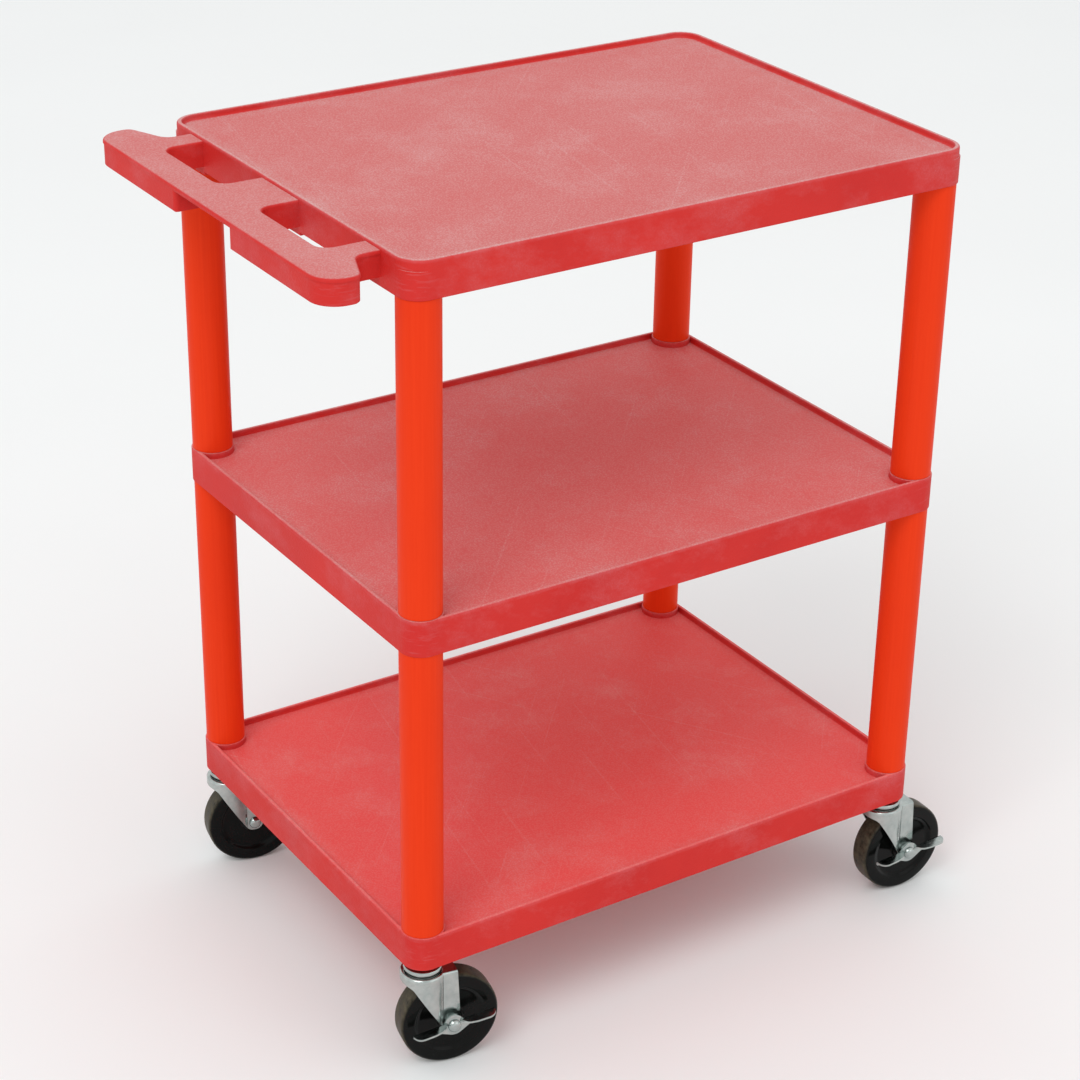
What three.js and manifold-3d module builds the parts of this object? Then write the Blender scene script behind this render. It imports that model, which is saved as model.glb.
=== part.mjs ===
// Three-shelf moulded plastic book cart on four swivel casters, two of them braked.
// Millimetres. +Z is up, the floor is z = 0, X runs along the long side and the push handle is at -X.
import * as THREE from 'three';
import { mergeVertices } from 'three/addons/utils/BufferGeometryUtils.js';
import Module from 'manifold-3d';

const wasm = await Module();
wasm.setup();

// ---- driving dimensions -------------------------------------------------------------------------
const GAP = 0.3;                    // clearance between faces that touch
const BORE_GAP = 0.6;               // clearance on the radius of a bore round its shaft

const SHELF_LENGTH = 610;           // 24 in
const SHELF_WIDTH = 457;            // 18 in
const SHELF_HEIGHT = 36;            // rim top to skirt bottom
const CORNER_RADIUS = 25;
const LIP_HEIGHT = 6;               // rim above the deck
const LIP_THICKNESS = 5;
const DECK_THICKNESS = 5;
const SKIRT_THICKNESS = 4.5;
const RIB_THICKNESS = 3;
const RIB_DEPTH = 18;

const LEG_RADIUS = 20.2;
const LEG_WALL = 3;
const LEG_SHOWN = 305;              // 12 in between two shelves
const LEG_INSET = 21.6;             // leg axis to the shelf's outer faces
const BOSS_RADIUS = 21.4;
const SPIGOT_LENGTH = 22;           // how far a spigot reaches into a leg

const HANDLE_REACH = 79;            // beyond the shelf's end wall
const HANDLE_DROP = 2.5;            // handle top below the rim
const HANDLE_DEPTH = 25;            // handle top to skirt bottom
const HANDLE_SLAB = 5;
const HANDLE_SKIRT = 5;
const HANDLE_HALF_WIDTH = 223;
const NECK_HALF_WIDTH = 181;        // where the handle joins the shelf
const SKIRT_START = 53;             // each deep skirt runs outwards from here
const SLOT_WIDTH = 41.5;
const SLOT_INNER_END = 36;
const SLOT_OUTER_END = 153;
const SLOT_RADIUS = 13;
const SLOT_WALL = 4;
const WALL_RELIEF = 3.4;            // cut off the foot of the shelf's end wall behind each slot

const CASTER_HEIGHT = 120;          // 4 3/4 in, floor to skirt bottom
const WHEEL_RADIUS = 50;            // 4 in class wheel
const WHEEL_WIDTH = 25;
const TRAIL = 24;                   // stem axis to wheel axis
const HUB_WIDTH = 27;
const FORK_GAP = 28;
const FORK_STEEL = 2;
const CROWN_TOP = 108.5;
const CROWN_RADIUS = 22.4;
const CROWN_STEPS = 14;             // flats round the crown
const CHEEK_REAR_TOP = 30;          // stem axis to the back edge of a cheek
const CHEEK_REAR_FOOT = 33.5;
const RACE_RADIUS = 19;
const STEM_RADIUS = 5.5;
const KINGPIN_RADIUS = 4.6;
const AXLE_RADIUS = 4;
const BUSH_RADIUS = 6.3;
const LEVER_REACH = 42;             // axle to the tip of each pedal
const PEDAL_WIDTH = 11;

// swivel angle of each caster at rest, measured from +X to the side its wheel trails, and how far its
// brake lever is rocked: negative is released, with the trailing pedal up, and level is half way
const CASTERS = [
  { name: 'handle_right', sx: -1, sy: -1, swivel: -10.7, braked: true, leverTilt: -8 },
  { name: 'front_right', sx: 1, sy: -1, swivel: -2.3, braked: true, leverTilt: -5 },
  { name: 'handle_left', sx: -1, sy: 1, swivel: -10.6, braked: false },
  { name: 'front_left', sx: 1, sy: 1, swivel: -6, braked: false },
];

// the whole cart is moved so that its box stands centred over the origin
const FRAME_SHIFT = new THREE.Vector3(13, 10.2, 0);

const STEP_UP = LEG_SHOWN + SHELF_HEIGHT;
const SHELF_BOTTOMS = [CASTER_HEIGHT, CASTER_HEIGHT + STEP_UP, CASTER_HEIGHT + 2 * STEP_UP];
const LEG_X = SHELF_LENGTH / 2 - LEG_INSET;
const LEG_Y = SHELF_WIDTH / 2 - LEG_INSET;
const SPIGOT_RADIUS = LEG_RADIUS - LEG_WALL - BORE_GAP;
const OVERSHOOT = 2;                // cutters pass this far through what they cut
const MERGE_TOLERANCE = 0.01;       // flat neighbours closer than this become one face

// ---- materials ----------------------------------------------------------------------------------
function finish(color, roughness, metalness) {
  return new THREE.MeshStandardMaterial({ color, roughness, metalness });
}

const shelfPlastic = finish(0xc94f4a, 0.6, 0);
const legPlastic = finish(0xe03a28, 0.35, 0);
const zincSteel = finish(0xb4bab6, 0.3, 0.9);
const blackWheel = finish(0x161616, 0.35, 0);
const bushSteel = finish(0x8f9290, 0.4, 0.9);
const socketPlastic = finish(0x2a2a2a, 0.6, 0);

// ---- solids -------------------------------------------------------------------------------------
function solid(geometry) {
  const shape = geometry.clone();
  for (const name of ['normal', 'uv']) if (shape.hasAttribute(name)) shape.deleteAttribute(name);
  const merged = mergeVertices(shape, 1e-4);
  return new wasm.Manifold(new wasm.Mesh({
    numProp: 3,
    vertProperties: new Float32Array(merged.attributes.position.array),
    triVerts: new Uint32Array(merged.index.array),
  }));
}

function geometryOf(manifold) {
  const mesh = manifold.simplify(MERGE_TOLERANCE).getMesh();
  const geometry = new THREE.BufferGeometry();
  geometry.setAttribute('position', new THREE.BufferAttribute(new Float32Array(mesh.vertProperties), 3));
  geometry.setIndex(new THREE.BufferAttribute(new Uint32Array(mesh.triVerts), 1));
  geometry.computeVertexNormals();
  return geometry;
}

function piece(name, manifold, material) {
  const mesh = new THREE.Mesh(geometryOf(manifold), material);
  mesh.name = name;
  return mesh;
}

const sum = (...solids) => solids.reduce((whole, next) => whole.add(next));

// a plan outline in XY, raised from z0 to z1
function prism(outline, z0, z1) {
  const geometry = new THREE.ExtrudeGeometry(new THREE.Shape(outline), {
    depth: z1 - z0, bevelEnabled: false, curveSegments: 1,
  });
  return solid(geometry.translate(0, 0, z0));
}

// a side outline given as (x, z), thickened along Y from y0 to y1
function sidePlate(outline, y0, y1) {
  const geometry = new THREE.ExtrudeGeometry(new THREE.Shape(outline), {
    depth: y1 - y0, bevelEnabled: false, curveSegments: 1,
  });
  return solid(geometry.rotateX(Math.PI / 2).translate(0, y1, 0));
}

function block(x0, x1, y0, y1, z0, z1) {
  const geometry = new THREE.BoxGeometry(x1 - x0, y1 - y0, z1 - z0);
  return solid(geometry.translate((x0 + x1) / 2, (y0 + y1) / 2, (z0 + z1) / 2));
}

function rod(radius, z0, z1, x = 0, y = 0, sides = 16) {
  const geometry = new THREE.CylinderGeometry(radius, radius, z1 - z0, sides);
  return solid(geometry.rotateX(Math.PI / 2).translate(x, y, (z0 + z1) / 2));
}

// a rod along Y through (x, z)
function crossRod(radius, y0, y1, x, z, sides = 20) {
  const geometry = new THREE.CylinderGeometry(radius, radius, y1 - y0, sides);
  return solid(geometry.translate(x, (y0 + y1) / 2, z));
}

// a profile of [radius, height] points turned round the Z axis
function turned(profile, sides) {
  const points = profile.map(([radius, height]) => new THREE.Vector2(radius, height));
  return solid(new THREE.LatheGeometry(points, sides).rotateX(Math.PI / 2));
}

// corners given as [x, y, radius] become an outline with arcs of about one step per 18 degrees
function rounded(corners) {
  const outline = [];
  corners.forEach(([x, y, radius], index) => {
    const corner = new THREE.Vector2(x, y);
    if (!radius) {
      outline.push(corner);
      return;
    }
    const [bx, by] = corners[(index + corners.length - 1) % corners.length];
    const [ax, ay] = corners[(index + 1) % corners.length];
    const back = new THREE.Vector2(bx - x, by - y).normalize();
    const ahead = new THREE.Vector2(ax - x, ay - y).normalize();
    const half = Math.acos(back.dot(ahead)) / 2;
    const middle = back.clone().add(ahead).normalize().multiplyScalar(radius / Math.sin(half)).add(corner);
    const start = back.clone().multiplyScalar(radius / Math.tan(half)).add(corner).sub(middle);
    const turn = Math.sign(back.cross(ahead)) * -(Math.PI - 2 * half);
    const steps = Math.max(2, Math.round(Math.abs(turn) / (Math.PI / 10)));
    for (let i = 0; i <= steps; i += 1) {
      outline.push(start.clone().rotateAround(new THREE.Vector2(), (turn * i) / steps).add(middle));
    }
  });
  return outline;
}

const roundedBox = (x0, x1, y0, y1, radius) =>
  rounded([[x0, y0, radius], [x1, y0, radius], [x1, y1, radius], [x0, y1, radius]]);

// an anticlockwise outline moved inwards by an even distance
function insetOutline(outline, distance) {
  return outline.map((point, index) => {
    const before = outline[(index + outline.length - 1) % outline.length];
    const after = outline[(index + 1) % outline.length];
    const along0 = point.clone().sub(before).normalize();
    const along1 = after.clone().sub(point).normalize();
    const inward = new THREE.Vector2(-along0.y - along1.y, along0.x + along1.x).normalize();
    return inward.multiplyScalar(distance / (-along0.y * inward.x + along0.x * inward.y)).add(point);
  });
}

const forEachLeg = (make) => [-1, 1].flatMap((sx) => [-1, 1].map((sy) => make(sx * LEG_X, sy * LEG_Y)));

// ---- shelves ------------------------------------------------------------------------------------
// A tray open at the underside: a recessed deck inside a thin rim, a skirt, three ribs, and at each
// corner a round boss with spigots that the legs push onto.
function shelf(z, { legsAbove, legsBelow }) {
  const top = z + SHELF_HEIGHT;
  const deckTop = top - LIP_HEIGHT;
  const deckUnder = deckTop - DECK_THICKNESS;
  const plan = (inset) => {
    const x = SHELF_LENGTH / 2 - inset;
    const y = SHELF_WIDTH / 2 - inset;
    return roundedBox(-x, x, -y, y, CORNER_RADIUS - inset);
  };
  let tray = prism(plan(0), z, top)
    .subtract(prism(plan(LIP_THICKNESS), deckTop, top + OVERSHOOT))
    .subtract(prism(plan(SKIRT_THICKNESS), z - OVERSHOOT, deckUnder));

  // a rib across the tray at each pair of bosses, and one along the middle between them
  const ribX = LEG_X - BOSS_RADIUS + 1;
  const ribY = SHELF_WIDTH / 2 - 2;
  const half = RIB_THICKNESS / 2;
  const [ribBottom, ribTop] = [deckUnder - RIB_DEPTH, deckUnder + 1];
  for (const x of [-ribX, ribX]) tray = tray.add(block(x - half, x + half, -ribY, ribY, ribBottom, ribTop));
  tray = tray.add(block(-ribX, ribX, -half, half, ribBottom, ribTop));

  const bossTop = legsAbove ? top : deckUnder + 1;
  const spigotTop = legsAbove ? top + SPIGOT_LENGTH : deckUnder + 1;
  const spigotBottom = legsBelow ? z - SPIGOT_LENGTH : z;
  forEachLeg((x, y) => {
    const spigot = rod(SPIGOT_RADIUS, spigotBottom, spigotTop, x, y, 12);
    tray = sum(tray, rod(BOSS_RADIUS, z, bossTop, x, y), spigot);
  });
  if (legsBelow) return tray;
  // the caster sockets sit in the undersides of the bosses
  forEachLeg((x, y) => {
    tray = tray.subtract(rod(SOCKET_RADIUS + BORE_GAP, z - OVERSHOOT, z + SOCKET_LENGTH + 1, x, y, 12));
  });
  return tray;
}

// ---- push handle, moulded in one with the top shelf ----------------------------------------------
const inOrder = (a, b) => [Math.min(a, b), Math.max(a, b)];

// Outline from the wall: neck, concave notch, rounded horn, then the long outer edge.
function handle(z) {
  const wall = -SHELF_LENGTH / 2;
  const edge = wall - HANDLE_REACH;
  const top = z + SHELF_HEIGHT - HANDLE_DROP;
  const bottom = top - HANDLE_DEPTH;
  const root = wall + SKIRT_THICKNESS / 2;
  const halfOutline = [
    [root, NECK_HALF_WIDTH, 0],
    [wall - 24, NECK_HALF_WIDTH, 13],
    [wall - 42, HANDLE_HALF_WIDTH + 1, 11],
    [edge, HANDLE_HALF_WIDTH, 26],
  ];
  const mirrored = halfOutline.map(([x, y, radius]) => [x, -y, radius]).reverse();
  const outline = rounded([...halfOutline, ...mirrored]);
  const slotOutline = (side, grow) => {
    const ends = inOrder(side * (SLOT_INNER_END - grow), side * (SLOT_OUTER_END + grow));
    const outer = wall - SLOT_WIDTH - grow;
    const inner = grow ? root : wall;
    return rounded([
      [outer, ends[0], SLOT_RADIUS + grow], [inner, ends[0], 0],
      [inner, ends[1], 0], [outer, ends[1], SLOT_RADIUS + grow],
    ]);
  };
  let body = prism(outline, bottom, top)
    .subtract(prism(insetOutline(outline, HANDLE_SKIRT), bottom - OVERSHOOT, top - HANDLE_SLAB))
    .subtract(block(edge - OVERSHOOT, root + OVERSHOOT, -SKIRT_START, SKIRT_START,
      bottom - OVERSHOOT, top - HANDLE_SLAB))
    // the inset leaves a wall at the root too, which the shelf's own end wall replaces
    .subtract(block(wall - HANDLE_SKIRT, root + OVERSHOOT, -NECK_HALF_WIDTH + HANDLE_SKIRT,
      NECK_HALF_WIDTH - HANDLE_SKIRT, bottom - OVERSHOOT, top - HANDLE_SLAB));
  for (const side of [-1, 1]) {
    const ends = inOrder(side * SKIRT_START, side * (SKIRT_START + HANDLE_SKIRT));
    const endWall = block(edge + 1, wall - SLOT_WIDTH - 1, ...ends, bottom, top - 1);
    body = sum(body, endWall, prism(slotOutline(side, SLOT_WALL), bottom, top));
  }
  for (const side of [-1, 1]) {
    body = body.subtract(prism(slotOutline(side, 0), bottom - OVERSHOOT, top + OVERSHOOT));
  }
  return body;
}

// The end wall's foot is cut away behind each slot, so that the slot is clear right through.
function wallReliefs(z) {
  const wall = -SHELF_LENGTH / 2;
  const reliefs = [-1, 1].map((side) => block(wall - OVERSHOOT, wall + SKIRT_THICKNESS + OVERSHOOT,
    ...inOrder(side * SLOT_INNER_END, side * SLOT_OUTER_END), z - OVERSHOOT, z + WALL_RELIEF));
  return sum(...reliefs);
}

// ---- legs ---------------------------------------------------------------------------------------
function leg(x, y, z0, z1) {
  return rod(LEG_RADIUS, z0 + GAP, z1 - GAP, x, y)
    .subtract(rod(LEG_RADIUS - LEG_WALL, z0 - OVERSHOOT, z1 + OVERSHOOT, x, y));
}

// ---- casters: stem axis at the local origin, wheel trailing along local +X, axle along local Y ---
const SOCKET_RADIUS = 8;
const SOCKET_LENGTH = 26;
const RACE_BOTTOM = 111;
const RACE_TOP = 115;
const SHOULDER_TOP = 117.8;

function stemSocket() {
  const flange = CASTER_HEIGHT - GAP;
  const bore = STEM_RADIUS + GAP;
  const end = CASTER_HEIGHT + SOCKET_LENGTH;
  return turned([
    [bore, flange - 1.6], [12, flange - 1.6], [12, flange], [SOCKET_RADIUS, flange],
    [SOCKET_RADIUS, end], [bore, end], [bore, flange - 1.6],
  ], 14);
}

function casterStem() {
  const rivetBottom = CROWN_TOP - FORK_STEEL - 6;
  const rivetTop = CROWN_TOP - FORK_STEEL - GAP;
  const tip = CASTER_HEIGHT + SOCKET_LENGTH - 2;
  return turned([
    [0, rivetBottom], [7, rivetBottom + 1.5], [7, rivetTop], [KINGPIN_RADIUS, rivetTop],
    [KINGPIN_RADIUS, RACE_BOTTOM], [RACE_RADIUS, RACE_BOTTOM], [RACE_RADIUS, RACE_TOP],
    [9, RACE_TOP], [9, SHOULDER_TOP],
    [STEM_RADIUS, SHOULDER_TOP], [STEM_RADIUS, tip - 2], [STEM_RADIUS - 1.5, tip], [0, tip],
  ], 14);
}

function ballRace() {
  const low = CROWN_TOP + GAP;
  const high = RACE_BOTTOM - GAP;
  const middle = (low + high) / 2;
  return turned([
    [12, low], [17, low], [17, high], [12, high], [12, low],
  ], 16);
}

// what is cut out of a piece for the axle to pass through it
function axleBore(y0, y1, x = TRAIL, z = WHEEL_RADIUS) {
  return crossRod(AXLE_RADIUS + BORE_GAP, y0 - OVERSHOOT, y1 + OVERSHOOT, x, z, 12);
}

// Pressed from one sheet: a round crown over the ball race, running back into two flat cheeks.
function fork() {
  const side = FORK_GAP / 2 + FORK_STEEL;
  const under = CROWN_TOP - FORK_STEEL;
  const plan = (inset, rear) => {
    const radius = CROWN_RADIUS - inset;
    const halfWidth = side - inset;
    const meeting = Math.asin(halfWidth / radius);
    const outline = [new THREE.Vector2(rear, -halfWidth), new THREE.Vector2(rear, halfWidth)];
    for (let i = 0; i <= CROWN_STEPS; i += 1) {
      const angle = meeting + ((2 * Math.PI - 2 * meeting) * i) / CROWN_STEPS;
      outline.push(new THREE.Vector2(radius * Math.cos(angle), radius * Math.sin(angle)));
    }
    return outline;
  };
  const front = -CROWN_RADIUS - 1;
  const foot = WHEEL_RADIUS - 9;
  const cheek = rounded([
    [CHEEK_REAR_TOP, CROWN_TOP, 0], [front, CROWN_TOP, 0], [front, CROWN_TOP - 9, 0],
    [-16, CROWN_TOP - 11, 8], [TRAIL - 6.5, foot, 9], [CHEEK_REAR_FOOT, foot, 9],
  ]);
  return prism(plan(0, CHEEK_REAR_FOOT + OVERSHOOT), 0, CROWN_TOP)
    .subtract(prism(plan(FORK_STEEL, CHEEK_REAR_FOOT + 2 * OVERSHOOT), -OVERSHOOT, under))
    .intersect(sidePlate(cheek, -CROWN_RADIUS - 1, CROWN_RADIUS + 1))
    .subtract(rod(KINGPIN_RADIUS + BORE_GAP, under - OVERSHOOT, CROWN_TOP + OVERSHOOT, 0, 0, 12))
    .subtract(axleBore(-side, side));
}

// The tread is a polygon with one flat on the floor, so its corners stand a little proud of the radius.
function wheel() {
  const sides = 24;
  const half = WHEEL_WIDTH / 2;
  const hub = HUB_WIDTH / 2;
  const bore = BUSH_RADIUS + GAP;
  const reach = WHEEL_RADIUS / Math.cos(Math.PI / sides);
  const halfProfile = [
    [bore, hub], [13, hub], [14, half - 3], [33, half - 3], [35, half], [reach - 3.5, half],
    [reach, half - 3.5],
  ];
  const profile = [...halfProfile, ...halfProfile.map(([r, y]) => [r, -y]).reverse(), halfProfile[0]];
  const points = profile.map(([radius, y]) => new THREE.Vector2(radius, y)).reverse();
  const geometry = new THREE.LatheGeometry(points, sides, Math.PI / sides);
  return solid(geometry.translate(TRAIL, 0, WHEEL_RADIUS));
}

function wheelBush() {
  const half = FORK_GAP / 2 - GAP;
  return crossRod(BUSH_RADIUS, -half, half, TRAIL, WHEEL_RADIUS, 16)
    .subtract(axleBore(-half, half));
}

const CHEEK_OUTSIDE = FORK_GAP / 2 + FORK_STEEL;
const CAM_THICKNESS = 4.6;
const LEVER_STEEL = 2;
const NUT_THICKNESS = 6;
const LEVER_INSIDE = CHEEK_OUTSIDE + 2 * GAP + CAM_THICKNESS;

function axleBolt(braked) {
  const seat = braked ? LEVER_INSIDE + LEVER_STEEL + GAP : CHEEK_OUTSIDE + GAP;
  const end = seat + CHEEK_OUTSIDE + NUT_THICKNESS + 3;
  const profile = [[0, -4], [4, -4], [6.5, -2], [6.5, 0], [AXLE_RADIUS, 0], [AXLE_RADIUS, end], [0, end]];
  const points = profile.map(([radius, y]) => new THREE.Vector2(radius, y - seat));
  return solid(new THREE.LatheGeometry(points, 12).translate(TRAIL, 0, WHEEL_RADIUS));
}

function axleNut() {
  const inside = CHEEK_OUTSIDE + GAP;
  return crossRod(7.5, inside, inside + NUT_THICKNESS, TRAIL, WHEEL_RADIUS, 6)
    .subtract(axleBore(inside, inside + NUT_THICKNESS));
}

function brakeCam() {
  const outer = -CHEEK_OUTSIDE - GAP;
  return crossRod(8, outer - CAM_THICKNESS, outer, TRAIL, WHEEL_RADIUS, 16)
    .subtract(axleBore(outer - CAM_THICKNESS, outer));
}

// A rocker about the axle, here at the local origin: an upright web with a flat pedal bent outwards at
// each end.
function brakeLever() {
  const pedalTop = 5;
  const outside = -LEVER_INSIDE - LEVER_STEEL;
  const web = rounded([
    [-LEVER_REACH, pedalTop, 0], [-LEVER_REACH, pedalTop - 3, 0], [-17, -3, 12], [0, -12, 12],
    [17, -3, 12], [LEVER_REACH, pedalTop - 3, 0], [LEVER_REACH, pedalTop, 0], [14, pedalTop, 0],
    [0, 15, 9], [-14, pedalTop, 0],
  ]);
  let lever = sidePlate(web, outside, -LEVER_INSIDE);
  for (const end of [-1, 1]) {
    const corners = [
      [end * 5, outside + 0.5, 0], [end * LEVER_REACH, outside + 0.5, 0],
      [end * LEVER_REACH, outside - PEDAL_WIDTH, 9], [end * 15, outside - PEDAL_WIDTH, 8],
    ];
    const pedal = rounded(end > 0 ? corners.reverse() : corners);
    lever = lever.add(prism(pedal, pedalTop - LEVER_STEEL, pedalTop));
  }
  return lever.subtract(axleBore(outside, -LEVER_INSIDE, 0, 0));
}

function caster({ name, sx, sy, swivel, braked, leverTilt }) {
  const group = new THREE.Group();
  group.position.set(sx * LEG_X, sy * LEG_Y, 0);
  const fixed = [
    piece(`${name}_stem_socket`, stemSocket(), socketPlastic),
    piece(`${name}_caster_stem`, casterStem(), zincSteel),
  ];
  const turning = new THREE.Group();
  turning.rotation.z = THREE.MathUtils.degToRad(swivel);
  turning.add(
    piece(`${name}_ball_race`, ballRace(), bushSteel),
    piece(`${name}_fork`, fork(), zincSteel),
    piece(`${name}_wheel`, wheel(), blackWheel),
    piece(`${name}_wheel_bush`, wheelBush(), bushSteel),
    piece(`${name}_axle_bolt`, axleBolt(braked), zincSteel),
    piece(`${name}_axle_nut`, axleNut(), zincSteel),
  );
  if (braked) {
    const lever = piece(`${name}_brake_lever`, brakeLever(), zincSteel);
    lever.position.set(TRAIL, 0, WHEEL_RADIUS);
    lever.rotation.y = THREE.MathUtils.degToRad(leverTilt);
    turning.add(piece(`${name}_brake_cam`, brakeCam(), zincSteel), lever);
  }
  group.add(...fixed, turning);
  return group;
}

// ---- the cart -----------------------------------------------------------------------------------
const cart = new THREE.Group();
const [bottomZ, middleZ, topZ] = SHELF_BOTTOMS;

cart.add(piece('bottom_shelf', shelf(bottomZ, { legsAbove: true, legsBelow: false }), shelfPlastic));
cart.add(piece('middle_shelf', shelf(middleZ, { legsAbove: true, legsBelow: true }), shelfPlastic));
const topShelf = shelf(topZ, { legsAbove: false, legsBelow: true })
  .add(handle(topZ))
  .subtract(wallReliefs(topZ));
cart.add(piece('top_shelf', topShelf, shelfPlastic));

for (const { name, sx, sy } of CASTERS) {
  const [x, y] = [sx * LEG_X, sy * LEG_Y];
  cart.add(piece(`${name}_lower_leg`, leg(x, y, bottomZ + SHELF_HEIGHT, middleZ), legPlastic));
  cart.add(piece(`${name}_upper_leg`, leg(x, y, middleZ + SHELF_HEIGHT, topZ), legPlastic));
}
for (const spec of CASTERS) cart.add(caster(spec));

cart.position.copy(FRAME_SHIFT);

export default cart;
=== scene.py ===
"""Book cart: three moulded trays on tube legs and four swivel casters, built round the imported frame.

Shapes are worked out in millimetres in the cart's own axes and turned into metres as meshes are made.
The push handle is at -X and Z is up.
"""
import math

import bmesh
import bpy
from mathutils import Matrix, Vector


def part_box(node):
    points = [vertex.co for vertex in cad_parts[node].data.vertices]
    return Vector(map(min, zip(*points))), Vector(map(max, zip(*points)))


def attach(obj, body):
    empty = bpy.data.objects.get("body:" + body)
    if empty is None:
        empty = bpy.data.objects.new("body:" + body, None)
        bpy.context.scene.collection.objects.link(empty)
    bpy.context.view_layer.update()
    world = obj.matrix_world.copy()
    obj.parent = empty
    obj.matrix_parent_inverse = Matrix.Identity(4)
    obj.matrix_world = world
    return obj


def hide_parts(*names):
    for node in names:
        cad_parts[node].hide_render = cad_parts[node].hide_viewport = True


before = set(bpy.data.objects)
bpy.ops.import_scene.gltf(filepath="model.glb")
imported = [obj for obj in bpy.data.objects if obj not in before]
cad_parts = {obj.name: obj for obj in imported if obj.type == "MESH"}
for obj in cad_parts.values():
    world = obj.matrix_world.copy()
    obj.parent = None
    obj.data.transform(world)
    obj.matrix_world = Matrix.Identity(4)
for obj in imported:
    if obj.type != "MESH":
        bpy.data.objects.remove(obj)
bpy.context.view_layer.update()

MM = 0.001
SHARP_ANGLE = math.radians(32)

# ---- sizes, in millimetres ----------------------------------------------------------------------
lowest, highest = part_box("bottom_shelf")
CART_CENTRE = Vector(((lowest.x + highest.x) / 2, (lowest.y + highest.y) / 2, 0))
SHELF_X = (highest.x - lowest.x) / 2 / MM
SHELF_Y = (highest.y - lowest.y) / 2 / MM
SHELF_HEIGHT = 36
CORNER_RADIUS = 25
LIP_HEIGHT = 6
LIP_THICKNESS = 5
DECK_THICKNESS = 5
SKIRT_THICKNESS = 4.5
RIB_THICKNESS = 3
RIB_DEPTH = 18
RIM_ROUNDING = 2.4
RIM_INNER_ROUNDING = 1.4
DECK_FILLET = 3.0

LEG_RADIUS = 20.2
LEG_WALL = 3
LEG_SHOWN = 305
LEG_INSET = 21.6
LEG_X = SHELF_X - LEG_INSET
LEG_Y = SHELF_Y - LEG_INSET
BOSS_RADIUS = 21.4
SPIGOT_RADIUS = 16.6
SPIGOT_LENGTH = 22
GAP = 0.3
OVERLAP = 1
OVERSHOOT = 2

HANDLE_REACH = 79
HANDLE_DROP = 2.5
HANDLE_DEPTH = 25
HANDLE_SLAB = 5
HANDLE_SKIRT = 5
HANDLE_HALF_WIDTH = 223
NECK_HALF_WIDTH = 181
SKIRT_START = 53
SKIRT_STEP = 0.9
LEDGE_DROP = 3.8
SLOT_WIDTH = 41.5
SLOT_INNER_END = 36
SLOT_OUTER_END = 153
SLOT_RADIUS = 13
SLOT_WALL = 4
WALL_RELIEF = 3.4
HANDLE_ROUNDING = 2.6
SLOT_FLARE = 2.4

CASTER_HEIGHT = 120
WHEEL_RADIUS = 50
TRAIL = 24
FORK_HALF_GAP = 14
FORK_STEEL = 2
CHEEK_OUTSIDE = FORK_HALF_GAP + FORK_STEEL
CROWN_TOP = 108.5
CROWN_RADIUS = 22.4
STEM_RADIUS = 5.5
KINGPIN_RADIUS = 4.6
SOCKET_RADIUS = 8
SOCKET_LENGTH = 26
AXLE_RADIUS = 4
BOLT_CLEARANCE = 0.3
FORK_CLEARANCE = 0.5
LEVER_CLEARANCE = 0.4
SOCKET_CLEARANCE = 0.6
BUSH_RADIUS = 6.3
RACE_BOTTOM = 111
CAM_RADIUS = 8
CAM_THICKNESS = 4.6
LEVER_STEEL = 2
LEVER_INSIDE = CHEEK_OUTSIDE + 2 * GAP + CAM_THICKNESS
LEVER_REACH = 42
PEDAL_WIDTH = 11
PEDAL_START = 5
NUT_THICKNESS = 6
NUT_CORNER_RADIUS = 7.5

# name, side along X, side along Y, swivel angle, brake lever tilt (None where there is no brake)
CASTERS = [
    ("handle_right", -1, -1, -10.7, -8),
    ("front_right", 1, -1, -2.3, -5),
    ("handle_left", -1, 1, -10.6, None),
    ("front_left", 1, 1, -6.0, None),
]


# ---- outlines -----------------------------------------------------------------------------------
def arc(cx, cy, radius, start, end, steps):
    """Points from angle start to angle end, in degrees, both ends included."""
    angles = [math.radians(start + (end - start) * i / steps) for i in range(steps + 1)]
    return [(cx + radius * math.cos(a), cy + radius * math.sin(a)) for a in angles]


def rounded(corners, step=9.0):
    """Corners given as (x, y, radius) become an outline, with an arc step of about step degrees."""
    outline = []
    for index, (x, y, radius) in enumerate(corners):
        corner = Vector((x, y))
        if not radius:
            outline.append((x, y))
            continue
        back = (Vector(corners[index - 1][:2]) - corner).normalized()
        ahead = (Vector(corners[(index + 1) % len(corners)][:2]) - corner).normalized()
        half = math.acos(max(-1, min(1, back.dot(ahead)))) / 2
        middle = corner + (back + ahead).normalized() * (radius / math.sin(half))
        start = corner + back * (radius / math.tan(half)) - middle
        turn = math.copysign(math.pi - 2 * half, back.x * ahead.y - back.y * ahead.x) * -1
        steps = max(2, round(abs(math.degrees(turn)) / step))
        for i in range(steps + 1):
            angle = turn * i / steps
            spun = Vector((
                start.x * math.cos(angle) - start.y * math.sin(angle),
                start.x * math.sin(angle) + start.y * math.cos(angle),
            ))
            outline.append(tuple(middle + spun))
    return outline


def rounded_box(x, y, radius, step=6.0):
    """A rounded rectangle round the origin, from half its length and half its width."""
    return rounded([(-x, -y, radius), (x, -y, radius), (x, y, radius), (-x, y, radius)], step)


def inset(outline, distance):
    """An anticlockwise outline moved inwards by an even distance."""
    moved = []
    count = len(outline)
    for index, point in enumerate(outline):
        before = Vector(outline[index - 1])
        here = Vector(point)
        after = Vector(outline[(index + 1) % count])
        first = (here - before).normalized()
        second = (after - here).normalized()
        inward = Vector((-first.y - second.y, first.x + second.x)).normalized()
        scale = distance / (-first.y * inward.x + first.x * inward.y)
        moved.append(tuple(here + inward * scale))
    return moved


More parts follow.
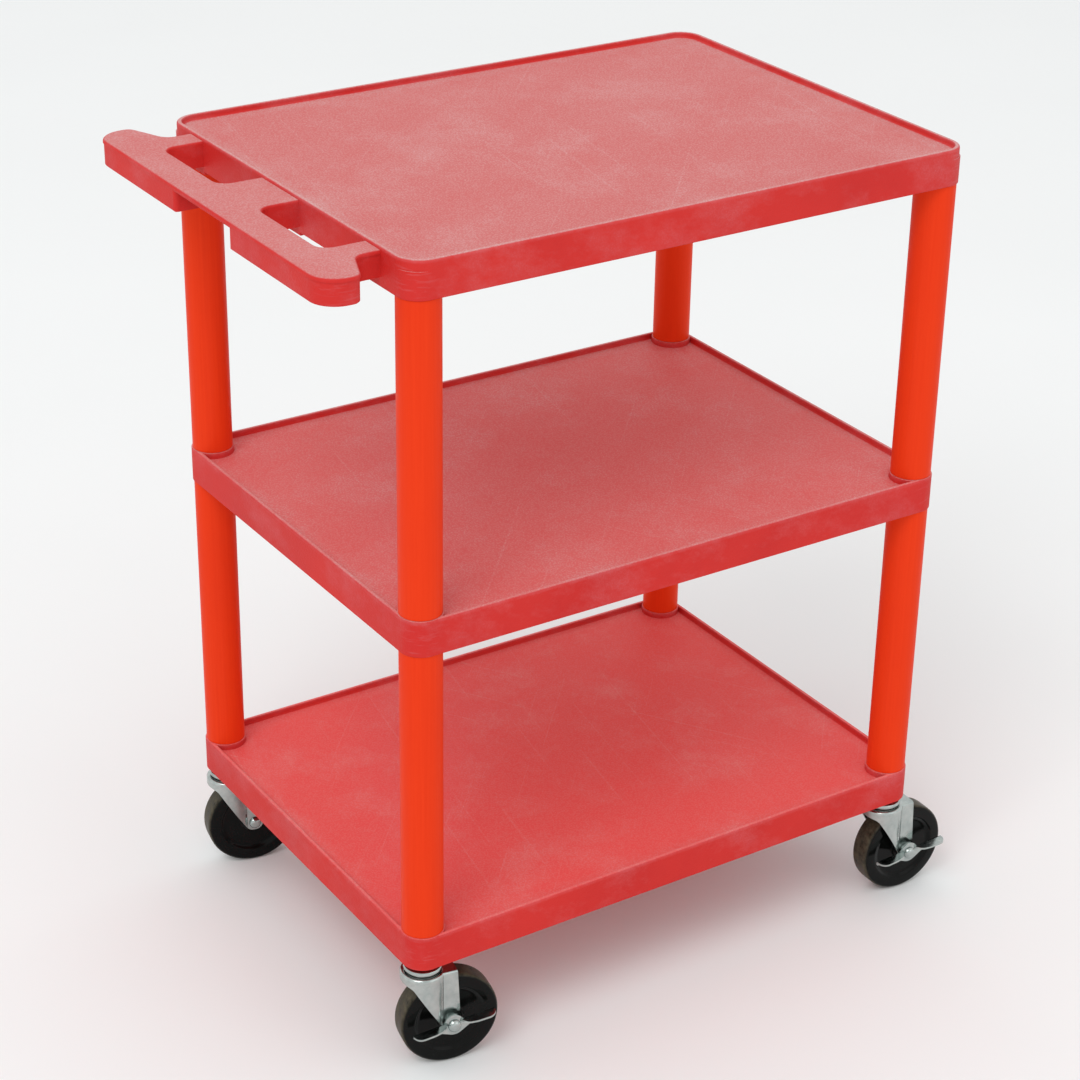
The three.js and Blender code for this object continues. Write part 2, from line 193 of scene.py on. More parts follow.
# ---- meshes -------------------------------------------------------------------------------------
def mesh_object(name, points, faces):
    """An object from points in millimetres, with its faces turned outwards."""
    mesh = bpy.data.meshes.new(name)
    mesh.from_pydata([tuple(c * MM for c in point) for point in points], [], faces)
    work = bmesh.new()
    work.from_mesh(mesh)
    bmesh.ops.recalc_face_normals(work, faces=work.faces)
    work.to_mesh(mesh)
    work.free()
    thing = bpy.data.objects.new(name, mesh)
    bpy.context.scene.collection.objects.link(thing)
    return thing


def skin(rings, closed=False):
    """Points and faces of a skin through rings of equal length; it has caps unless it closes on itself."""
    count = len(rings[0])
    points = [point for ring in rings for point in ring]
    faces = []
    spans = len(rings) if closed else len(rings) - 1
    for level in range(spans):
        low = level * count
        high = ((level + 1) % len(rings)) * count
        for i in range(count):
            j = (i + 1) % count
            faces.append((low + i, low + j, high + j, high + i))
    if not closed:
        faces.append(tuple(range(count)))
        faces.append(tuple(range(len(points) - count, len(points))))
    return points, faces


def combine(*parts):
    """Several (points, faces) parts as one."""
    points, faces = [], []
    for more_points, more_faces in parts:
        base = len(points)
        points += more_points
        faces += [tuple(base + i for i in face) for face in more_faces]
    return points, faces


def prism(outline, z0, z1):
    """An outline of (x, y) raised from z0 to z1."""
    return skin([[(x, y, z0) for x, y in outline], [(x, y, z1) for x, y in outline]])


def block(x0, x1, y0, y1, z0, z1):
    return prism([(x0, y0), (x1, y0), (x1, y1), (x0, y1)], z0, z1)


def turned(profile, sides=48, centre=(0, 0)):
    """A profile of (radius, z) turned about Z. It starts and ends on the axis, or closes on itself."""
    on_axis = profile[0][0] == 0
    used = profile[1:-1] if on_axis else profile
    rings = []
    for radius, z in used:
        rings.append([
            (centre[0] + radius * math.cos(2 * math.pi * i / sides),
             centre[1] + radius * math.sin(2 * math.pi * i / sides), z)
            for i in range(sides)
        ])
    return skin(rings, closed=not on_axis)


def along_y(part):
    """The same part with its Z axis laid along -Y, so that its low end is at the +Y side."""
    points, faces = part
    return [(x, -z, y) for x, y, z in points], faces


def moved(part, x=0, y=0, z=0):
    points, faces = part
    return [(px + x, py + y, pz + z) for px, py, pz in points], faces


def side_plate(outline, y0, y1):
    """A side outline of (x, z) thickened from y0 to y1."""
    return skin([[(x, y0, z) for x, z in outline], [(x, y1, z) for x, z in outline]])


def at_legs(make):
    """What make(x, y) gives at each of the four leg positions, as one part."""
    return combine(*[make(sx * LEG_X, sy * LEG_Y) for sx in (-1, 1) for sy in (-1, 1)])


def taken_apart(thing):
    """The points, in millimetres, and faces of an object, which is then deleted."""
    points = [tuple(c / MM for c in vertex.co) for vertex in thing.data.vertices]
    faces = [tuple(face.vertices) for face in thing.data.polygons]
    bpy.data.objects.remove(thing)
    return points, faces


def modified(thing):
    """The same object with its modifiers made part of its mesh."""
    bpy.context.view_layer.update()
    result = bpy.data.meshes.new_from_object(thing.evaluated_get(bpy.context.evaluated_depsgraph_get()))
    thing.modifiers.clear()
    thing.data = result
    return thing


def boolean(target, part, operation):
    """target joined with, cut by or kept inside part, which is points and faces in millimetres."""
    tool = mesh_object("tool", *part)
    modifier = target.modifiers.new("boolean", "BOOLEAN")
    modifier.operation = operation
    modifier.solver = "EXACT"
    modifier.object = tool
    modified(target)
    bpy.data.objects.remove(tool)
    return target


def soften(thing, width, segments=2, angle=35):
    """Small rounded edges all over a plate or turned part."""
    modifier = thing.modifiers.new("edges", "BEVEL")
    modifier.width = width * MM
    modifier.segments = segments
    modifier.limit_method = "ANGLE"
    modifier.angle_limit = math.radians(angle)
    modifier.use_clamp_overlap = True
    return modified(thing)


def settle(thing, material, body, node, matrix=None):
    """Shading, finish and place of a finished piece, which is then put on its body while its part in the
    model is hidden.
    """
    thing.data.shade_smooth()
    thing.data.set_sharp_from_angle(angle=SHARP_ANGLE)
    weighted = thing.modifiers.new("normals", "WEIGHTED_NORMAL")
    weighted.keep_sharp = True
    thing.data.materials.clear()
    thing.data.materials.append(material)
    thing.matrix_world = Matrix.Translation(CART_CENTRE) @ (matrix or Matrix.Identity(4))
    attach(thing, body)
    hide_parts(node)
    return thing


# ---- node helpers -------------------------------------------------------------------------------
class Shading:
    """A material with short calls for the nodes that the finishes here share."""

    def __init__(self, name):
        self.material = bpy.data.materials.new(name)
        self.material.use_nodes = True
        self.tree = self.material.node_tree
        self.shader = self.tree.nodes["Principled BSDF"]
        self.coordinates = self.tree.nodes.new("ShaderNodeTexCoord").outputs["Object"]

    def put(self, kind, **inputs):
        node = self.tree.nodes.new(kind)
        for key, value in inputs.items():
            self.feed(node.inputs[key.replace("_", " ")], value)
        return node

    def feed(self, socket, value):
        if isinstance(value, bpy.types.NodeSocket):
            self.tree.links.new(value, socket)
        else:
            socket.default_value = value

    def stretched(self, scale, turn=(0, 0, 0)):
        """Coordinates turned first, then scaled along the turned axes, for grain that runs one way."""
        node = self.put("ShaderNodeMapping", Vector=self.coordinates)
        node.vector_type = "TEXTURE"
        node.inputs["Scale"].default_value = tuple(1 / value for value in scale)
        node.inputs["Rotation"].default_value = turn
        return node.outputs["Vector"]

    def noise(self, scale, detail=3.0, roughness=0.5, vector=None):
        node = self.put("ShaderNodeTexNoise", Scale=scale, Detail=detail, Roughness=roughness)
        self.feed(node.inputs["Vector"], vector or self.coordinates)
        return node.outputs["Fac"]

    def cells(self, scale, vector=None):
        node = self.put("ShaderNodeTexVoronoi", Scale=scale)
        self.feed(node.inputs["Vector"], vector or self.coordinates)
        return node.outputs["Distance"]

    def map(self, value, low, high, to_low=0.0, to_high=1.0):
        node = self.put("ShaderNodeMapRange", Value=value)
        for key, number in (("From Min", low), ("From Max", high), ("To Min", to_low), ("To Max", to_high)):
            node.inputs[key].default_value = number
        return node.outputs["Result"]

    def calculate(self, operation, a, b=0.0):
        node = self.tree.nodes.new("ShaderNodeMath")
        node.operation = operation
        self.feed(node.inputs[0], a)
        self.feed(node.inputs[1], b)
        return node.outputs["Value"]

    def times(self, a, b):
        return self.calculate("MULTIPLY", a, b)

    def plus(self, a, b):
        return self.calculate("ADD", a, b)

    def larger(self, a, b):
        return self.calculate("MAXIMUM", a, b)

    def mix(self, factor, a, b, blend="MIX"):
        node = self.tree.nodes.new("ShaderNodeMix")
        node.data_type = "RGBA"
        node.blend_type = blend
        self.feed(node.inputs["Factor"], factor)
        self.feed(node.inputs["A"], a)
        self.feed(node.inputs["B"], b)
        return node.outputs["Result"]

    def position(self):
        """How far along X and along Y from the middle, and the height, all in metres."""
        split = self.put("ShaderNodeSeparateXYZ", Vector=self.coordinates)
        x, y = (self.calculate("ABSOLUTE", split.outputs[axis]) for axis in "XY")
        return x, y, split.outputs["Z"]

    def near_walls(self, join, x, y, far, near):
        """Ramps that rise from far to near, in metres, inside the end and side walls, made into one."""
        end = SHELF_X * MM
        side = SHELF_Y * MM
        return join(self.map(x, end - far, end - near), self.map(y, side - far, side - near))

    def upward(self):
        """1 where the surface faces straight up, 0 where it is upright."""
        geometry = self.tree.nodes.new("ShaderNodeNewGeometry")
        split = self.put("ShaderNodeSeparateXYZ", Vector=geometry.outputs["Normal"])
        return split.outputs["Z"]

    def bump(self, height, strength, distance):
        node = self.put("ShaderNodeBump", Height=height, Strength=strength, Distance=distance)
        self.feed(self.shader.inputs["Normal"], node.outputs["Normal"])

    def set(self, **inputs):
        for key, value in inputs.items():
            self.feed(self.shader.inputs[key.replace("_", " ")], value)


def colour(r, g, b):
    return (r, g, b, 1.0)


def shelf_plastic(name, tone, dust_and_sheen, bottom):
    """Pebbled red structural foam: chalky where it faces up, a pale cast that is partly painted sheen,
    scuffed in faint streaks and worn at its edges.

    The shelf's underside is at the height bottom. tone brightens the red of what faces up; this is painted
    light that makes up for the shade cast by the shelf above.
    The next argument sets how pale what faces up becomes, part chalk and part painted sheen.
    """
    s = Shading(name)
    x, y, z = s.position()
    top = (bottom + SHELF_HEIGHT) * MM
    end = SHELF_X * MM
    patches = s.noise(7.0, 4.0, 0.6)
    red = s.mix(s.map(patches, 0.3, 0.7), colour(0.545, 0.020, 0.018), colour(0.625, 0.030, 0.025))
    up = s.map(s.upward(), 0.75, 0.99)
    # what faces up gets its own red, brightened by tone as painted light against the shade of the shelf
    # above
    red = s.mix(up, red, colour(0.600 * tone, 0.026 * tone, 0.022 * tone))

    # chalk lying on what faces up, in clouds and wiped streaks, and thicker along the foot of the rim; on
    # what faces up the pale cast is part chalk and part painted sheen
    streaks = s.noise(3.2, 5.0, 0.62, s.stretched((1.0, 5.0, 1.0), (0, 0, math.radians(34))))
    clouds = s.noise(4.5, 5.0, 0.6)
    near_rim = s.near_walls(s.larger, x, y, far=0.024, near=0.009)
    near_rim = s.times(near_rim, s.map(x, end, end + 0.003, 1.0, 0.0))
    lying = s.times(s.map(streaks, 0.3, 0.72, 0.90, 1.11), s.map(clouds, 0.3, 0.7, 0.93, 1.07))
    lying = s.times(lying, s.map(near_rim, 0.0, 1.0, 1.0, 1.40))
    flat_dust_and_sheen = s.times(s.times(up, dust_and_sheen), lying)

    # hairline scratches dragged across the deck in three directions
    for turn, scale in ((48, 15.0), (-57, 12.0), (80, 10.0)):
        lines = s.noise(scale, 1.0, 0.5, s.stretched((0.28, 22.0, 1.0), (0, 0, math.radians(turn))))
        scratch = s.times(s.map(lines, 0.69, 0.77, 0.0, 0.07), up)
        flat_dust_and_sheen = s.plus(flat_dust_and_sheen, scratch)

    # rubbed patches on the walls
    rubbed = s.noise(11.0, 6.0, 0.68, s.stretched((1.0, 1.0, 1.6), (0, math.radians(20), 0)))
    wall_dust = s.map(rubbed, 0.48, 0.74, 0.0, 0.14)
    amount = s.plus(flat_dust_and_sheen, wall_dust)

    # the pebbled skin catches the chalk on its high points
    pebble = s.cells(540.0)
    grain = s.noise(780.0, 2.0, 0.6)
    speckle = s.times(s.map(pebble, 0.15, 0.62, 1.28, 0.72), s.map(grain, 0.3, 0.7, 0.80, 1.20))
    amount = s.times(amount, speckle)

    # worn edges: along the rim's rounded top, and crescent scrapes round the four corners
    chips = s.noise(150.0, 4.0, 0.7)
    edge = s.times(s.map(z, top - 0.0034, top - 0.0010), s.map(chips, 0.36, 0.70, 0.03, 0.11))
    corner = s.near_walls(s.times, x, y, far=0.034, near=0.016)
    scrapes = s.noise(1.0, 3.0, 0.6, s.stretched((55.0, 55.0, 420.0)))
    scrape = s.times(corner, s.map(scrapes, 0.55, 0.70, 0.0, 0.08))
    amount = s.plus(amount, s.larger(edge, scrape))
    # the pale colour mixed in: chalk on the walls, and chalk with painted sheen on what faces up
    chalk_and_sheen = s.mix(up, colour(0.62, 0.42, 0.47), colour(0.70, 0.56, 0.55))
    s.set(
        Base_Color=s.mix(amount, red, chalk_and_sheen),
        Roughness=s.map(patches, 0.3, 0.7, 0.48, 0.60),
        Specular_IOR_Level=0.16,
    )
    s.bump(s.plus(pebble, s.times(grain, 0.8)), 0.45, 0.0004)
    return s.material


def leg_plastic():
    """Smooth satin extruded tube, with faint draw lines along it."""
    s = Shading("leg_tube")
    lines = s.noise(60.0, 3.0, 0.6, s.stretched((8.0, 8.0, 0.12)))
    marks = s.noise(9.0, 4.0, 0.6)
    base = s.mix(s.map(lines, 0.3, 0.7), colour(0.755, 0.041, 0.008), colour(0.785, 0.046, 0.009))
    s.set(
        Base_Color=s.mix(s.map(marks, 0.45, 0.8, 0.0, 0.25), base, colour(0.70, 0.032, 0.010)),
        Roughness=s.map(marks, 0.3, 0.7, 0.34, 0.46),
        Specular_IOR_Level=0.05,
    )
    s.bump(lines, 0.04, 0.0003)
    return s.material


def zinc():
    """Bright zinc plate over pressed steel: a cloudy grey mirror with a little blue in it."""
    s = Shading("zinc_plate")
    clouds = s.noise(90.0, 4.0, 0.6)
    fine = s.noise(900.0, 2.0, 0.5)
    tone = s.mix(s.map(clouds, 0.3, 0.7), colour(0.36, 0.41, 0.40), colour(0.52, 0.56, 0.54))
    s.set(Base_Color=tone, Roughness=s.map(clouds, 0.3, 0.7, 0.14, 0.26), Metallic=1.0)
    s.bump(fine, 0.08, 0.0002)
    return s.material


def wheel_black():
    """Hard black rubber: polished sides and a worn, dusty tread. The wheel's axle is the object's Y."""
    s = Shading("wheel_black")
    split = s.put("ShaderNodeSeparateXYZ", Vector=s.coordinates)
    x, y, z = split.outputs["X"], split.outputs["Y"], split.outputs["Z"]
    radius = s.calculate("SQRT", s.plus(s.times(x, x), s.times(z, z)))
    tread = s.map(radius, (WHEEL_RADIUS - 2.2) * MM, (WHEEL_RADIUS - 0.4) * MM)
    scuffs = s.noise(160.0, 5.0, 0.65)
    wear = s.times(tread, s.map(scuffs, 0.35, 0.7, 0.25, 1.0))
    swirl = s.noise(45.0, 4.0, 0.6)
    side = s.mix(s.map(swirl, 0.3, 0.7), colour(0.0026, 0.0028, 0.0026), colour(0.0050, 0.0052, 0.0048))
    s.set(
        Base_Color=s.mix(wear, side, colour(0.095, 0.080, 0.052)),
        Roughness=s.plus(s.map(swirl, 0.3, 0.7, 0.10, 0.20), s.times(wear, 0.45)),
        Specular_IOR_Level=0.12,
    )
    s.bump(s.plus(scuffs, s.times(swirl, 2.0)), 0.10, 0.0006)
    return s.material


def plain_steel():
    """Unplated bearing steel, greyer than the zinc, with faint rings round it."""
    s = Shading("bearing_steel")
    rings = s.noise(300.0, 3.0, 0.6, s.stretched((1.0, 9.0, 1.0)))
    s.set(
        Base_Color=s.mix(s.map(rings, 0.3, 0.7), colour(0.30, 0.29, 0.28), colour(0.45, 0.44, 0.43)),
        Roughness=s.map(rings, 0.3, 0.7, 0.3, 0.45),
        Metallic=1.0,
    )
    s.bump(rings, 0.1, 0.0002)
    return s.material


def black_nylon():
    """Mottled moulded nylon for the sockets."""
    s = Shading("black_nylon")
    mottle = s.noise(220.0, 3.0, 0.6)
    s.set(
        Base_Color=s.mix(s.map(mottle, 0.3, 0.7), colour(0.012, 0.012, 0.013), colour(0.022, 0.022, 0.023)),
        Roughness=s.map(mottle, 0.3, 0.7, 0.42, 0.56),
    )
    s.bump(mottle, 0.1, 0.0002)
    return s.material


# ---- shelves ------------------------------------------------------------------------------------
def tray_rings(height):
    """The tray's skin as (inset, height) pairs, from the middle of its underside round to its deck."""
    deck = height - LIP_HEIGHT
    under = deck - DECK_THICKNESS
    edge = 0.8
    inside = SKIRT_THICKNESS
    pairs = [(inside + 2.0, under), (inside + 1.2, under), (inside, under - 1.2)]
    pairs += [(inside, edge), (inside - edge, 0), (edge, 0), (0, edge)]
    rim = RIM_ROUNDING
    pairs += [(rim - x, height - rim + z) for x, z in arc(0, 0, rim, 0, 90, 7)]
    lip = RIM_INNER_ROUNDING
    pairs += [(LIP_THICKNESS - lip + z, height - lip + x) for x, z in arc(0, 0, lip, 0, 90, 5)]
    fillet = DECK_FILLET
    pairs += [(LIP_THICKNESS + fillet - x, deck + fillet - z) for x, z in arc(0, 0, fillet, 0, 90, 6)]
    pairs += [(LIP_THICKNESS + fillet + 1.5, deck)]
    return pairs


def tray(name, bottom):
    """The shelf without its ribs and bosses: skirt, rim and recessed deck in one skin."""
    rings = []
    for gap, z in tray_rings(SHELF_HEIGHT):
        outline = rounded_box(SHELF_X - gap, SHELF_Y - gap, max(CORNER_RADIUS - gap, 1.0))
        rings.append([(x, y, bottom + z) for x, y in outline])
    return mesh_object(name, *skin(rings))


def boss(x, y, z0, z1):
    """The round corner post that a leg stands on, with a softened top edge."""
    soft = 0.6
    chamfer = 0.4
    profile = [(0, z0), (BOSS_RADIUS - chamfer, z0), (BOSS_RADIUS, z0 + chamfer)]
    profile += [(BOSS_RADIUS - soft + r, z1 - soft + z) for r, z in arc(0, 0, soft, 0, 90, 4)]
    return turned(profile + [(0, z1)], 72, (x, y))


def rod(radius, z0, z1, x=0, y=0, sides=48):
    return turned([(0, z0), (radius, z0), (radius, z1), (0, z1)], sides, (x, y))


def shelf(name, bottom, legs_above, legs_below):
    """A whole shelf. Where no legs go up its bosses stop at the deck; where none go down it has sockets."""
    thing = tray(name, bottom)
    top = bottom + SHELF_HEIGHT
    under = top - LIP_HEIGHT - DECK_THICKNESS
    rib_x = LEG_X - BOSS_RADIUS + OVERLAP
    half = RIB_THICKNESS / 2
    rib_z = (under - RIB_DEPTH, under + OVERLAP)
    reach = SHELF_Y - 2
    across = [block(x - half, x + half, -reach, reach, *rib_z) for x in (-rib_x, rib_x)]
    boolean(thing, combine(*across), "UNION")
    boolean(thing, block(-rib_x, rib_x, -half, half, *rib_z), "UNION")
    boss_top = top if legs_above else under + OVERLAP
    boolean(thing, at_legs(lambda x, y: boss(x, y, bottom, boss_top)), "UNION")
    spigot_top = top + SPIGOT_LENGTH if legs_above else under + OVERLAP
    spigot_bottom = bottom - SPIGOT_LENGTH if legs_below else bottom + OVERLAP
    boolean(thing, at_legs(lambda x, y: rod(SPIGOT_RADIUS, spigot_bottom, spigot_top, x, y)), "UNION")
    if not legs_below:
        socket_hole = SOCKET_RADIUS + SOCKET_CLEARANCE
        low = bottom - OVERSHOOT
        high = bottom + SOCKET_LENGTH + 1
        holes = at_legs(lambda x, y: rod(socket_hole, low, high, x, y))
        boolean(thing, holes, "DIFFERENCE")
    return thing


def leg(name, x, y, z0, z1):
    """A tube between the heights z0 and z1, open at both ends, with its edges eased."""
    outer = LEG_RADIUS
    inner = LEG_RADIUS - LEG_WALL
    low = z0 + GAP
    high = z1 - GAP
    edge = 0.3
    return mesh_object(name, *turned([
        (inner, low + edge), (inner + edge, low), (outer - edge, low), (outer, low + edge),
        (outer, high - edge), (outer - edge, high), (inner + edge, high), (inner, high - edge),
    ], 80, (x, y)))


# ---- push handle --------------------------------------------------------------------------------
def handle(bottom_of_shelf):
    """The handle on its own; it is joined to the top shelf's end wall afterwards."""
    wall = -SHELF_X
    edge = wall - HANDLE_REACH
    top = bottom_of_shelf + SHELF_HEIGHT - HANDLE_DROP
    bottom = top - HANDLE_DEPTH
    slab = top - HANDLE_SLAB
    root = wall + SKIRT_THICKNESS / 2
    half_outline = [
        (root, NECK_HALF_WIDTH, 0),
        (wall - 24, NECK_HALF_WIDTH, 13),
        (wall - 42, HANDLE_HALF_WIDTH + 1, 11),
        (edge, HANDLE_HALF_WIDTH, 26),
    ]
    mirrored = [(x, -y, radius) for x, y, radius in reversed(half_outline)]
    outline = rounded(half_outline + mirrored, 6.0)

    def slot_outline(side, grow, inner):
        low, high = sorted((side * (SLOT_INNER_END - grow), side * (SLOT_OUTER_END + grow)))
        outer = wall - SLOT_WIDTH - grow
        radius = SLOT_RADIUS + grow
        return rounded([(outer, low, radius), (inner, low, 0), (inner, high, 0), (outer, high, radius)], 6.0)

    step = SKIRT_STEP
    ledge = top - LEDGE_DROP
    levels = [(step + 0.8, bottom), (step, bottom + 0.8), (step, ledge - 0.2), (0, ledge + 0.2)]
    rounding = HANDLE_ROUNDING
    levels += [(rounding - x, top - rounding + z) for x, z in arc(0, 0, rounding, 0, 90, 6)]
    body = mesh_object("handle", *skin([
        [(x, y, z) for x, y in inset(outline, gap)] for gap, z in levels
    ]))

    # underneath: a hollow inside the skirt, none of it behind the middle, where the slab stands alone
    low = bottom - OVERSHOOT
    boolean(body, prism(inset(outline, HANDLE_SKIRT + step), low, slab), "DIFFERENCE")
    corner = 4.0
    start = SKIRT_START
    right = arc(edge + step + corner, start + corner, corner, 180, 270, 6)
    left = [(x, -y) for x, y in reversed(right)]
    behind = root + OVERSHOOT
    gap_outline = [(edge - 3, start + corner)] + right + [(behind, start), (behind, -start)] + left
    gap_outline += [(edge - 3, -start - corner)]
    boolean(body, prism(gap_outline, low, slab), "DIFFERENCE")
    clear = NECK_HALF_WIDTH - HANDLE_SKIRT - step
    boolean(body, block(wall - HANDLE_SKIRT - 1, behind, -clear, clear, low, slab), "DIFFERENCE")
    for side in (-1, 1):
        ends = sorted((side * (start + 0.01), side * (start + HANDLE_SKIRT)))
        slab_join = slab + OVERLAP
        boolean(body, block(edge + step + 4.5, wall - SLOT_WIDTH - 2, *ends, bottom, slab_join), "UNION")
        boolean(body, prism(slot_outline(side, SLOT_WALL, root - 0.01), bottom, slab_join), "UNION")
    for side in (-1, 1):
        levels = [(0, low), (0, top - SLOT_FLARE)]
        levels += [(SLOT_FLARE - x, top - SLOT_FLARE + z) for x, z in arc(0, 0, SLOT_FLARE, 0, 90, 6)][1:]
        levels += [(SLOT_FLARE, top + OVERSHOOT)]
        rings = [[(x, y, z) for x, y in slot_outline(side, grow, behind)] for grow, z in levels]
        boolean(body, skin(rings), "DIFFERENCE")
    return body


# ---- caster pieces: stem axis at the local origin, wheel trailing along +X, axle along Y -----------
def socket():
    """The plastic sleeve in the shelf that grips the stem, with a flange under the shelf."""
    flange = CASTER_HEIGHT - GAP
    bore = STEM_RADIUS + GAP
    end = CASTER_HEIGHT + SOCKET_LENGTH
    return mesh_object("socket", *turned([
        (bore, flange - 1.6), (11.4, flange - 1.6), (12, flange - 1.0), (12, flange),
        (SOCKET_RADIUS, flange), (SOCKET_RADIUS, end - 1), (SOCKET_RADIUS - 1, end), (bore, end),
    ], 40))


def stem():
    """Kingpin with its riveted foot, the pressed race above the crown, and the stem in the socket."""
    rivet_bottom = CROWN_TOP - FORK_STEEL - 6
    rivet_top = CROWN_TOP - FORK_STEEL - GAP
    tip = CASTER_HEIGHT + SOCKET_LENGTH - 2
    rivet = [(0, rivet_bottom), (4, rivet_bottom + 0.3), (6.4, rivet_bottom + 1.6), (7, rivet_bottom + 3)]
    rivet += [(7, rivet_top), (KINGPIN_RADIUS, rivet_top)]
    race = [
        (KINGPIN_RADIUS, 0.4), (16.8, 0.4), (17.2, -0.1), (18.2, -0.1), (18.9, 0.5), (19, 1.4), (18.9, 2.6),
        (18.2, 3.6), (17.0, 4.1), (12.5, 4.5), (10.2, 5.2), (9.4, 6.0), (9.0, 6.8), (STEM_RADIUS, 6.8),
    ]
    race = [(radius, RACE_BOTTOM + z) for radius, z in race]
    end = [(STEM_RADIUS, tip - 2), (STEM_RADIUS - 1.5, tip), (0, tip)]
    return mesh_object("stem", *turned(rivet + race + end, 56))


def ball_race():
    """A cage ring with its row of balls showing above and below."""
    low = CROWN_TOP + GAP
    high = RACE_BOTTOM - GAP
    middle = (low + high) / 2
    ball = (high - low) / 2
    ball_count = 20
    ball_circle = 14.5
    cage_inside, cage_outside, cage_half = 12.2, 16.8, 0.5
    thing = mesh_object("race", *turned([
        (cage_inside, middle - cage_half), (cage_outside, middle - cage_half),
        (cage_outside, middle + cage_half), (cage_inside, middle + cage_half),
    ], 48))
    work = bmesh.new()
    work.from_mesh(thing.data)
    for i in range(ball_count):
        angle = 2 * math.pi * i / ball_count
        place = Vector((ball_circle * math.cos(angle), ball_circle * math.sin(angle), middle)) * MM
        bmesh.ops.create_icosphere(work, subdivisions=2, radius=ball * MM, matrix=Matrix.Translation(place))
    work.to_mesh(thing.data)
    work.free()
    return thing


def fork_plan(gap, rear):
    """The fork seen from above, moved inwards by gap and open at the rear."""
    radius = CROWN_RADIUS - gap
    side = CHEEK_OUTSIDE - gap
    meeting = math.degrees(math.asin(side / radius))
    return [(rear, -side), (rear, side)] + arc(0, 0, radius, meeting, 360 - meeting, 40)


def fork():
    """One pressed sheet: a round crown over the race, running back into two flat cheeks."""
    under = CROWN_TOP - FORK_STEEL
    rear = 40
    bend = 2.6
    levels = [(0, 30), (0, CROWN_TOP - bend)]
    levels += [(bend - x, CROWN_TOP - bend + z) for x, z in arc(0, 0, bend, 0, 90, 6)][1:]
    thing = mesh_object("fork", *skin([[(x, y, z) for x, y in fork_plan(gap, rear)] for gap, z in levels]))
    inner = bend - FORK_STEEL
    levels = [(FORK_STEEL, 28), (FORK_STEEL, under - inner), (FORK_STEEL + inner * 0.3, under - inner * 0.3)]
    levels += [(FORK_STEEL + inner, under)]
    hollow = skin([[(x, y, z) for x, y in fork_plan(gap, rear + 2)] for gap, z in levels])
    boolean(thing, hollow, "DIFFERENCE")
    front = -CROWN_RADIUS - 1
    foot = WHEEL_RADIUS - 9
    cheek = rounded([
        (30, CROWN_TOP + 1, 0), (front, CROWN_TOP + 1, 0), (front, CROWN_TOP - 8.5, 0),
        (-16, CROWN_TOP - 11, 9), (TRAIL - 6.5, foot, 9), (33.5, foot, 8.5),
    ], 6.0)
    boolean(thing, side_plate(cheek, -30, 30), "INTERSECT")
    kingpin_hole = rod(KINGPIN_RADIUS + FORK_CLEARANCE, under - 4, CROWN_TOP + 4)
    axle_hole = along_y(rod(AXLE_RADIUS + FORK_CLEARANCE, -30, 30))
    boolean(thing, kingpin_hole, "DIFFERENCE")
    boolean(thing, moved(axle_hole, TRAIL, 0, WHEEL_RADIUS), "DIFFERENCE")
    return soften(thing, 0.35, 2, 40)


def wheel():
    """Hub, dished web and rounded tyre, turned about Y and centred on the wheel's own middle."""
    bore = BUSH_RADIUS + GAP
    half = [
        (bore, 13.1), (bore + 0.4, 13.5), (12.2, 13.5), (13.0, 12.9), (13.6, 10.2), (14.6, 9.4), (30.5, 9.2),
        (33.5, 9.6), (35.2, 11.0), (36.4, 12.0), (38.0, 12.4), (43.5, 12.3),
    ]
    shoulder, shoulder_r, shoulder_y = 3.9, 46.0, 8.2
    for degrees in range(10, 91, 10):
        angle = math.radians(degrees)
        half.append((shoulder_r + shoulder * math.sin(angle), shoulder_y + shoulder * math.cos(angle)))
    half.append((WHEEL_RADIUS, 4.0))
    profile = half + [(r, -y) for r, y in reversed(half)]
    return mesh_object("wheel", *along_y(turned(profile, 96)))


def bush():
    """The sleeve on the bolt that the wheel turns on, clamped between the fork's cheeks."""
    half = FORK_HALF_GAP - GAP
    bore = AXLE_RADIUS + BOLT_CLEARANCE
    profile = [(bore, -half), (BUSH_RADIUS - 0.5, -half), (BUSH_RADIUS, -half + 0.5)]
    profile += [(BUSH_RADIUS, half - 0.5), (BUSH_RADIUS - 0.5, half), (bore, half)]
    return mesh_object("bush", *along_y(turned(profile, 32)))


def bolt(braked):
    """A domed head at -Y and a shank that runs out through the nut, longer where it carries a lever."""
    seat = LEVER_INSIDE + LEVER_STEEL + GAP if braked else CHEEK_OUTSIDE + GAP
    end = CHEEK_OUTSIDE + GAP + NUT_THICKNESS + 2.6
    dome = [(0, 4.0), (2.2, 3.85), (4.2, 3.3), (5.6, 2.3), (6.4, 1.0), (6.5, 0)]
    head = [(radius, seat + height) for radius, height in dome]
    shank = [(AXLE_RADIUS, seat), (AXLE_RADIUS, -end + 0.8), (AXLE_RADIUS - 0.8, -end), (0, -end)]
    return mesh_object("bolt", *along_y(turned(head + shank, 40)))


def nut():
    """A hexagon with turned corners and a nylon-insert collar, at the +Y side."""
    face = -CHEEK_OUTSIDE - GAP
    end = face - NUT_THICKNESS
    hexagon = arc(0, 0, NUT_CORNER_RADIUS, 0, 300, 5)
    thing = mesh_object("nut", *along_y(prism(hexagon, end + 1.4, face)))
    cone = [
        (0, face - 6), (6.4, face - 5.6), (8.2, face - 3.6),
        (8.2, face - 0.9), (7.0, face + 0.2), (0, face + 0.2),
    ]
    boolean(thing, along_y(turned(cone, 48)), "INTERSECT")
    collar = [(0, end), (4.6, end), (5.6, end + 0.8), (5.9, face - 3), (0, face - 3)]
    boolean(thing, along_y(turned(collar, 40)), "UNION")
    bore = along_y(rod(AXLE_RADIUS + BOLT_CLEARANCE, face - 9, face + 3))
    boolean(thing, bore, "DIFFERENCE")
    return thing


